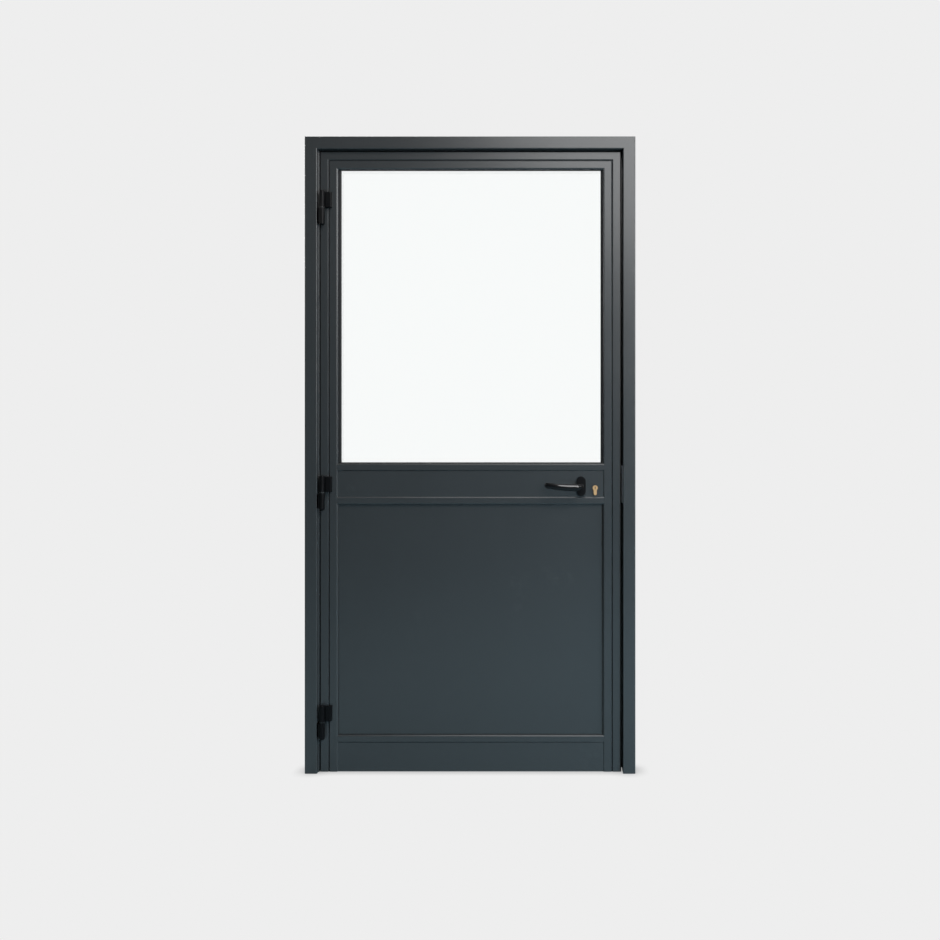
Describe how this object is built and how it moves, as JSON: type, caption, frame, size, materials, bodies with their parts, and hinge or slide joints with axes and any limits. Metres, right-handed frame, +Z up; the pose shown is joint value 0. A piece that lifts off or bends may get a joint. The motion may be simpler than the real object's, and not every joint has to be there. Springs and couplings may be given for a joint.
{
  "type": "half-glazed hinged door with frame",
  "caption": "Half-glazed hinged door in a slim metal frame, with clear double glazing above a flat panel, barrel hinges, a lever lock and a keyed cylinder.",
  "frame": {"origin": "on the floor, under the middle of the door's width and depth", "axes": "+X to the lock side seen from the front, +Y to the back, +Z up"},
  "size_m": [1.09, 0.1558, 2.1],
  "materials": {
    "satin_paint": "satin powder coat",
    "panel_paint": "satin coat on a light sandwich panel",
    "cleat_alloy": "mill",
    "spacer_bar": "matte black",
    "clear_glass": "clear",
    "seal_rubber": "matte",
    "black_hardware": "satin black",
    "lock_steel": "zinc plated",
    "cylinder_brass": "satin",
    "hinge_nylon": "moulded"
  },
  "bodies": {
    "frame": {"hinge_jamb": "satin_paint", "lock_jamb": "satin_paint", "head": "satin_paint", "frame_corner_cleats": "cleat_alloy", "stop_seal": "seal_rubber", "strike_plate": "lock_steel", "strike_screws": "lock_steel", "hinge_base_bottom": "black_hardware", "hinge_base_mid": "black_hardware", "hinge_base_top": "black_hardware", "hinge_pins": "lock_steel", "hinge_base_screws": "lock_steel"},
    "leaf": {"hinge_stile": "satin_paint", "lock_stile": "satin_paint", "top_rail": "satin_paint", "mid_rail": "satin_paint", "bottom_rail": "satin_paint", "glass_bead_left": "satin_paint", "glass_bead_right": "satin_paint", "glass_bead_top": "satin_paint", "glass_bead_bottom": "satin_paint", "panel_bead_left": "satin_paint", "panel_bead_right": "satin_paint", "panel_bead_top": "satin_paint", "panel_bead_bottom": "satin_paint", "lower_panel": "panel_paint", "leaf_corner_cleats": "cleat_alloy", "rail_connectors": "cleat_alloy", "pane_spacer": "spacer_bar", "front_pane": "clear_glass", "back_pane": "clear_glass", "glass_front_seal": "seal_rubber", "panel_front_seal": "seal_rubber", "infill_back_seals": "seal_rubber", "sweep_seal": "seal_rubber", "hinge_flag_bottom": "black_hardware", "hinge_flag_mid": "black_hardware", "hinge_flag_top": "black_hardware", "hinge_flag_covers": "black_hardware", "front_rose": "black_hardware", "back_rose": "black_hardware", "hinge_flag_screws": "lock_steel", "lock_case": "lock_steel", "lock_forend": "lock_steel", "lock_screws": "lock_steel", "cylinder_screw": "lock_steel", "rose_bolts": "lock_steel", "cylinder_body": "cylinder_brass", "hinge_bushes": "hinge_nylon", "setting_blocks": "hinge_nylon"},
    "levers": {"front_lever": "black_hardware", "back_lever": "black_hardware", "spindle": "lock_steel", "follower": "lock_steel", "lever_grub_screws": "lock_steel"},
    "latch": {"latch_bolt": "lock_steel"},
    "bolt": {"dead_bolt": "lock_steel"},
    "key_core": {"front_plug": "cylinder_brass", "back_plug": "cylinder_brass", "cam": "lock_steel"}
  },
  "joints": [
    {"name": "leaf_swing", "type": "hinge", "parent": "frame", "child": "leaf", "pos_m": [-0.488, -0.043, 0], "axis": [0, 0, -1], "range_deg": [0, 170]},
    {"name": "lever_turn", "type": "hinge", "parent": "leaf", "child": "levers", "pos_m": [0.366, 0, 0.946], "axis": [0, -1, 0], "range_deg": [0, 45], "stiffness_Nm_per_rad": 1.5, "springref_deg": -34.38},
    {"name": "latch_slide", "type": "slide", "parent": "leaf", "child": "latch", "axis": [1, 0, 0], "range_m": [0, 0.012]},
    {"name": "bolt_slide", "type": "slide", "parent": "leaf", "child": "bolt", "axis": [1, 0, 0], "range_m": [0, 0.02]},
    {"name": "key_turn", "type": "hinge", "parent": "leaf", "child": "key_core", "pos_m": [0.413, 0, 0.941], "axis": [0, 1, 0], "range_deg": [0, 360]}
  ],
  "couplings": [
    {"joint": "key_turn", "follows": "bolt_slide", "rad_per_m": 314.16}
  ]
}
